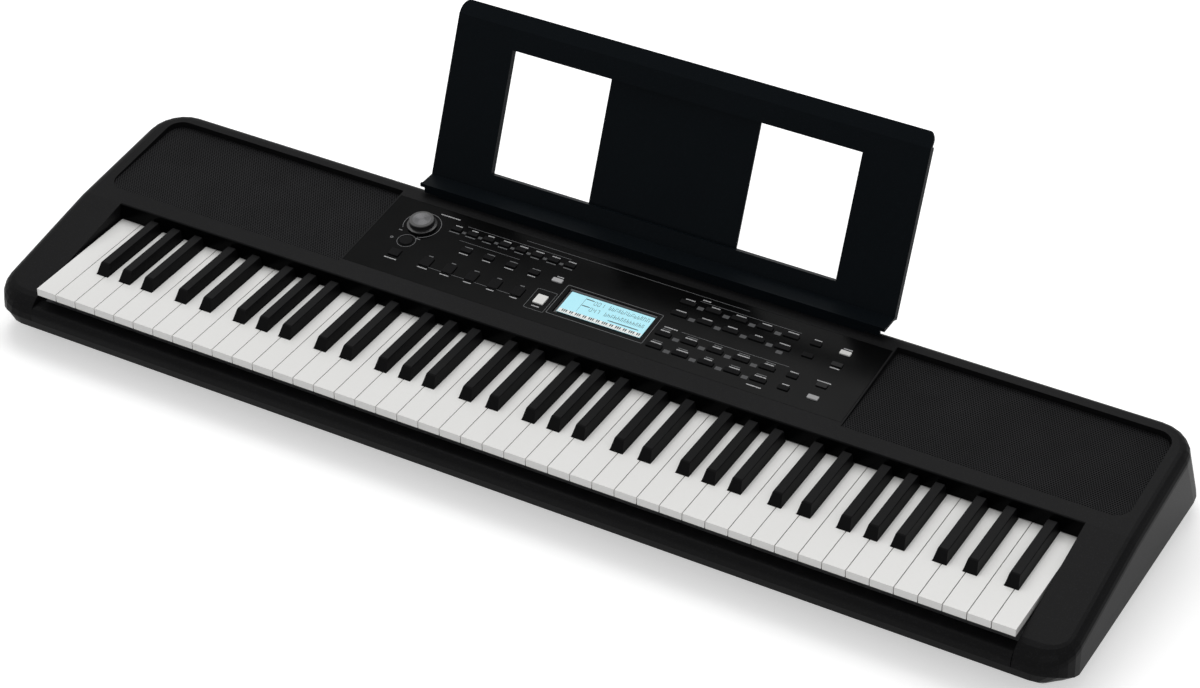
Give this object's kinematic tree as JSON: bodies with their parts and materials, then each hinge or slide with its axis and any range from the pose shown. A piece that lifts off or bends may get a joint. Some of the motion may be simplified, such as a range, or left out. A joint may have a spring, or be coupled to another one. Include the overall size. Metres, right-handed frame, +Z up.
{
  "type": "portable keyboard",
  "caption": "Portable electronic keyboard with full-size keys, speaker grilles, a control panel with a lit display, and a lift-off music rest.",
  "frame": {"origin": "centre of the object's box, on the surface it stands on", "axes": "+X to the player's right along the keys, +Y away from the player, +Z up"},
  "size_m": [1.164, 0.404, 0.278],
  "materials": {
    "case_black": "fine-grained satin",
    "gloss_black": "polished",
    "grille_black": "fine woven mesh",
    "key_white": "semi-gloss",
    "key_black": "matte",
    "button_black": "satin",
    "button_white": "satin",
    "rest_black": "satin",
    "display": "clear over a backlit display",
    "part_grey": "plain",
    "board_green": "circuit board",
    "foot_rubber": "plain"
  },
  "bodies": {
    "case": {"lower_case": "case_black", "upper_case": "case_black", "key_slip": "case_black", "fallboard": "gloss_black", "control_panel": "gloss_black", "display_window": "display", "display_module": "part_grey", "volume_potentiometer": "part_grey", "speaker_grille_left": "grille_black", "speaker_grille_right": "grille_black", "speaker_left": "part_grey", "speaker_right": "part_grey", "panel_board": "board_green", "main_board": "board_green", "contact_board": "board_green", "key_chassis": "part_grey", "headphone_jack": "part_grey", "pedal_jack": "part_grey", "usb_socket": "part_grey", "dc_inlet": "part_grey", "foot_front_left": "foot_rubber", "foot_front_right": "foot_rubber", "foot_rear_left": "foot_rubber", "foot_rear_right": "foot_rubber"},
    "category_buttons": {"category_buttons": "button_black"},
    "function_buttons": {"function_buttons": "button_black"},
    "tempo_button": {"tempo_button": "button_white"},
    "style_buttons": {"style_buttons": "button_black"},
    "start_button": {"start_button": "button_white"},
    "demo_button": {"demo_button": "button_black"},
    "sound_buttons_upper": {"sound_buttons_upper": "button_black"},
    "sound_buttons_lower": {"sound_buttons_lower": "button_black"},
    "transpose_buttons": {"transpose_buttons": "button_black"},
    "value_buttons": {"value_buttons": "button_black"},
    "mode_buttons": {"mode_buttons": "button_black"},
    "power_button": {"power_button": "button_black"},
    "volume_knob": {"volume_knob": "button_black"},
    "music_rest": {"music_rest": "rest_black"},
    "battery_door": {"battery_door": "case_black"},
    "white_keys_cegb_1": {"white_keys_cegb_1": "key_white"},
    "white_keys_dfa_1": {"white_keys_dfa_1": "key_white"},
    "black_keys_1": {"black_keys_1": "key_black"},
    "white_keys_cegb_2": {"white_keys_cegb_2": "key_white"},
    "white_keys_dfa_2": {"white_keys_dfa_2": "key_white"},
    "black_keys_2": {"black_keys_2": "key_black"},
    "white_keys_cegb_3": {"white_keys_cegb_3": "key_white"},
    "white_keys_dfa_3": {"white_keys_dfa_3": "key_white"},
    "black_keys_3": {"black_keys_3": "key_black"},
    "white_keys_cegb_4": {"white_keys_cegb_4": "key_white"},
    "white_keys_dfa_4": {"white_keys_dfa_4": "key_white"},
    "black_keys_4": {"black_keys_4": "key_black"},
    "white_keys_cegb_5": {"white_keys_cegb_5": "key_white"},
    "white_keys_dfa_5": {"white_keys_dfa_5": "key_white"},
    "black_keys_5": {"black_keys_5": "key_black"},
    "white_keys_cegb_6": {"white_keys_cegb_6": "key_white"},
    "white_keys_dfa_6": {"white_keys_dfa_6": "key_white"},
    "black_keys_6": {"black_keys_6": "key_black"},
    "white_keys_cegb_7": {"white_keys_cegb_7": "key_white"},
    "white_keys_dfa_7": {"white_keys_dfa_7": "key_white"},
    "black_keys_7": {"black_keys_7": "key_black"}
  },
  "joints": [
    {"name": "category_buttons_press", "type": "slide", "parent": "case", "child": "category_buttons", "axis": [0, 0.1045, -0.9945], "range_m": [0, 0.0008], "stiffness_N_per_m": 1500, "springref_m": -0.0003},
    {"name": "function_buttons_press", "type": "slide", "parent": "case", "child": "function_buttons", "axis": [0, 0.1045, -0.9945], "range_m": [0, 0.0008], "stiffness_N_per_m": 1500, "springref_m": -0.0003},
    {"name": "tempo_button_press", "type": "slide", "parent": "case", "child": "tempo_button", "axis": [0, 0.1045, -0.9945], "range_m": [0, 0.0008], "stiffness_N_per_m": 1500, "springref_m": -0.0003},
    {"name": "style_buttons_press", "type": "slide", "parent": "case", "child": "style_buttons", "axis": [0, 0.1045, -0.9945], "range_m": [0, 0.0008], "stiffness_N_per_m": 1500, "springref_m": -0.0003},
    {"name": "start_button_press", "type": "slide", "parent": "case", "child": "start_button", "axis": [0, 0.1045, -0.9945], "range_m": [0, 0.0008], "stiffness_N_per_m": 1500, "springref_m": -0.0003},
    {"name": "demo_button_press", "type": "slide", "parent": "case", "child": "demo_button", "axis": [0, 0.1045, -0.9945], "range_m": [0, 0.0008], "stiffness_N_per_m": 1500, "springref_m": -0.0003},
    {"name": "sound_buttons_upper_press", "type": "slide", "parent": "case", "child": "sound_buttons_upper", "axis": [0, 0.1045, -0.9945], "range_m": [0, 0.0008], "stiffness_N_per_m": 1500, "springref_m": -0.0003},
    {"name": "sound_buttons_lower_press", "type": "slide", "parent": "case", "child": "sound_buttons_lower", "axis": [0, 0.1045, -0.9945], "range_m": [0, 0.0008], "stiffness_N_per_m": 1500, "springref_m": -0.0003},
    {"name": "transpose_buttons_press", "type": "slide", "parent": "case", "child": "transpose_buttons", "axis": [0, 0.1045, -0.9945], "range_m": [0, 0.0008], "stiffness_N_per_m": 1500, "springref_m": -0.0003},
    {"name": "value_buttons_press", "type": "slide", "parent": "case", "child": "value_buttons", "axis": [0, 0.1045, -0.9945], "range_m": [0, 0.0008], "stiffness_N_per_m": 1500, "springref_m": -0.0003},
    {"name": "mode_buttons_press", "type": "slide", "parent": "case", "child": "mode_buttons", "axis": [0, 0.1045, -0.9945], "range_m": [0, 0.0008], "stiffness_N_per_m": 1500, "springref_m": -0.0003},
    {"name": "power_button_press", "type": "slide", "parent": "case", "child": "power_button", "axis": [0, 0.1045, -0.9945], "range_m": [0, 0.0012], "stiffness_N_per_m": 1200, "springref_m": -0.0004},
    {"name": "volume_knob_turn", "type": "hinge", "parent": "case", "child": "volume_knob", "pos_m": [-0.2315, 0.06002, 0.09337], "axis": [0, -0.1045, 0.9945], "range_deg": [-140, 140]},
    {"name": "music_rest_lift", "type": "slide", "parent": "case", "child": "music_rest", "axis": [0, 0, 1], "range_m": [0, 0.04]},
    {"name": "battery_door_pull", "type": "slide", "parent": "case", "child": "battery_door", "axis": [0, 0, -1], "range_m": [0, 0.03]},
    {"name": "white_keys_cegb_1_press", "type": "hinge", "parent": "case", "child": "white_keys_cegb_1", "pos_m": [-0.47, 0.00999, 0.061], "axis": [1, 0, 0], "range_deg": [0, 2.9], "stiffness_Nm_per_rad": 6, "springref_deg": -3.44},
    {"name": "white_keys_dfa_1_press", "type": "hinge", "parent": "case", "child": "white_keys_dfa_1", "pos_m": [-0.47, 0.00999, 0.061], "axis": [1, 0, 0], "range_deg": [0, 2.9], "stiffness_Nm_per_rad": 6, "springref_deg": -3.44},
    {"name": "black_keys_1_press", "type": "hinge", "parent": "case", "child": "black_keys_1", "pos_m": [-0.45825, 0.00999, 0.061], "axis": [1, 0, 0], "range_deg": [0, 2.9], "stiffness_Nm_per_rad": 6, "springref_deg": -3.44},
    {"name": "white_keys_cegb_2_press", "type": "hinge", "parent": "case", "child": "white_keys_cegb_2", "pos_m": [-0.329, 0.00999, 0.061], "axis": [1, 0, 0], "range_deg": [0, 2.9], "stiffness_Nm_per_rad": 6, "springref_deg": -3.44},
    {"name": "white_keys_dfa_2_press", "type": "hinge", "parent": "case", "child": "white_keys_dfa_2", "pos_m": [-0.329, 0.00999, 0.061], "axis": [1, 0, 0], "range_deg": [0, 2.9], "stiffness_Nm_per_rad": 6, "springref_deg": -3.44},
    {"name": "black_keys_2_press", "type": "hinge", "parent": "case", "child": "black_keys_2", "pos_m": [-0.329, 0.00999, 0.061], "axis": [1, 0, 0], "range_deg": [0, 2.9], "stiffness_Nm_per_rad": 6, "springref_deg": -3.44},
    {"name": "white_keys_cegb_3_press", "type": "hinge", "parent": "case", "child": "white_keys_cegb_3", "pos_m": [-0.1645, 0.00999, 0.061], "axis": [1, 0, 0], "range_deg": [0, 2.9], "stiffness_Nm_per_rad": 6, "springref_deg": -3.44},
    {"name": "white_keys_dfa_3_press", "type": "hinge", "parent": "case", "child": "white_keys_dfa_3", "pos_m": [-0.1645, 0.00999, 0.061], "axis": [1, 0, 0], "range_deg": [0, 2.9], "stiffness_Nm_per_rad": 6, "springref_deg": -3.44},
    {"name": "black_keys_3_press", "type": "hinge", "parent": "case", "child": "black_keys_3", "pos_m": [-0.1645, 0.00999, 0.061], "axis": [1, 0, 0], "range_deg": [0, 2.9], "stiffness_Nm_per_rad": 6, "springref_deg": -3.44},
    {"name": "white_keys_cegb_4_press", "type": "hinge", "parent": "case", "child": "white_keys_cegb_4", "pos_m": [0, 0.00999, 0.061], "axis": [1, 0, 0], "range_deg": [0, 2.9], "stiffness_Nm_per_rad": 6, "springref_deg": -3.44},
    {"name": "white_keys_dfa_4_press", "type": "hinge", "parent": "case", "child": "white_keys_dfa_4", "pos_m": [0, 0.00999, 0.061], "axis": [1, 0, 0], "range_deg": [0, 2.9], "stiffness_Nm_per_rad": 6, "springref_deg": -3.44},
    {"name": "black_keys_4_press", "type": "hinge", "parent": "case", "child": "black_keys_4", "pos_m": [0, 0.00999, 0.061], "axis": [1, 0, 0], "range_deg": [0, 2.9], "stiffness_Nm_per_rad": 6, "springref_deg": -3.44},
    {"name": "white_keys_cegb_5_press", "type": "hinge", "parent": "case", "child": "white_keys_cegb_5", "pos_m": [0.1645, 0.00999, 0.061], "axis": [1, 0, 0], "range_deg": [0, 2.9], "stiffness_Nm_per_rad": 6, "springref_deg": -3.44},
    {"name": "white_keys_dfa_5_press", "type": "hinge", "parent": "case", "child": "white_keys_dfa_5", "pos_m": [0.1645, 0.00999, 0.061], "axis": [1, 0, 0], "range_deg": [0, 2.9], "stiffness_Nm_per_rad": 6, "springref_deg": -3.44},
    {"name": "black_keys_5_press", "type": "hinge", "parent": "case", "child": "black_keys_5", "pos_m": [0.1645, 0.00999, 0.061], "axis": [1, 0, 0], "range_deg": [0, 2.9], "stiffness_Nm_per_rad": 6, "springref_deg": -3.44},
    {"name": "white_keys_cegb_6_press", "type": "hinge", "parent": "case", "child": "white_keys_cegb_6", "pos_m": [0.329, 0.00999, 0.061], "axis": [1, 0, 0], "range_deg": [0, 2.9], "stiffness_Nm_per_rad": 6, "springref_deg": -3.44},
    {"name": "white_keys_dfa_6_press", "type": "hinge", "parent": "case", "child": "white_keys_dfa_6", "pos_m": [0.329, 0.00999, 0.061], "axis": [1, 0, 0], "range_deg": [0, 2.9], "stiffness_Nm_per_rad": 6, "springref_deg": -3.44},
    {"name": "black_keys_6_press", "type": "hinge", "parent": "case", "child": "black_keys_6", "pos_m": [0.329, 0.00999, 0.061], "axis": [1, 0, 0], "range_deg": [0, 2.9], "stiffness_Nm_per_rad": 6, "springref_deg": -3.44},
    {"name": "white_keys_cegb_7_press", "type": "hinge", "parent": "case", "child": "white_keys_cegb_7", "pos_m": [0.47, 0.00999, 0.061], "axis": [1, 0, 0], "range_deg": [0, 2.9], "stiffness_Nm_per_rad": 6, "springref_deg": -3.44},
    {"name": "white_keys_dfa_7_press", "type": "hinge", "parent": "case", "child": "white_keys_dfa_7", "pos_m": [0.47, 0.00999, 0.061], "axis": [1, 0, 0], "range_deg": [0, 2.9], "stiffness_Nm_per_rad": 6, "springref_deg": -3.44},
    {"name": "black_keys_7_press", "type": "hinge", "parent": "case", "child": "black_keys_7", "pos_m": [0.47, 0.00999, 0.061], "axis": [1, 0, 0], "range_deg": [0, 2.9], "stiffness_Nm_per_rad": 6, "springref_deg": -3.44}
  ]
}
